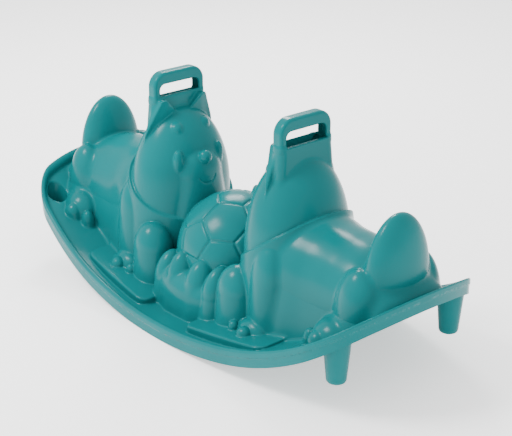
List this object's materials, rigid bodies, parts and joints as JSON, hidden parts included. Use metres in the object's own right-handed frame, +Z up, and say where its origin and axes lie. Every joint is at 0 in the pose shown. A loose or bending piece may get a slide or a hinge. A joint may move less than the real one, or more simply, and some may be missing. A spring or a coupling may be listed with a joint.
{
  "type": "two-seat rocking seesaw",
  "caption": "Two-seat toddler rocker moulded as two dogs facing each other across a football, with a seat, tail backrest, footrests and handle at each end, on a curved rocking rim.",
  "frame": {"origin": "on the ground under the middle of the object, where the rocking edge touches when it stands level", "axes": "+X along the long axis towards one seat, +Z up"},
  "size_m": [1.03, 0.45, 0.4539],
  "materials": {
    "shell": "satin moulded polyethylene, one teal colour all through"
  },
  "bodies": {
    "root": {"ball": "shell", "deck": "shell", "far_tuft": "shell", "left_brows": "shell", "left_chest": "shell", "left_eyes": "shell", "left_far_chest_lobe": "shell", "left_far_ear": "shell", "left_far_footrest": "shell", "left_far_front_leg": "shell", "left_far_front_paw": "shell", "left_far_haunch": "shell", "left_far_hind_paw": "shell", "left_far_stop_foot": "shell", "left_handle_grip": "shell", "left_handle_post": "shell", "left_head": "shell", "left_muzzle": "shell", "left_near_chest_lobe": "shell", "left_near_ear": "shell", "left_near_footrest": "shell", "left_near_front_leg": "shell", "left_near_front_paw": "shell", "left_near_haunch": "shell", "left_near_hind_paw": "shell", "left_near_stop_foot": "shell", "left_nose": "shell", "left_saddle": "shell", "left_tail": "shell", "near_tuft": "shell", "right_brows": "shell", "right_chest": "shell", "right_eyes": "shell", "right_far_chest_lobe": "shell", "right_far_ear": "shell", "right_far_footrest": "shell", "right_far_front_leg": "shell", "right_far_front_paw": "shell", "right_far_haunch": "shell", "right_far_hind_paw": "shell", "right_far_stop_foot": "shell", "right_handle_grip": "shell", "right_handle_post": "shell", "right_head": "shell", "right_muzzle": "shell", "right_near_chest_lobe": "shell", "right_near_ear": "shell", "right_near_footrest": "shell", "right_near_front_leg": "shell", "right_near_front_paw": "shell", "right_near_haunch": "shell", "right_near_hind_paw": "shell", "right_near_stop_foot": "shell", "right_nose": "shell", "right_saddle": "shell", "right_tail": "shell", "rim_bead": "shell", "rocker_skirt": "shell"}
  },
  "joints": []
}
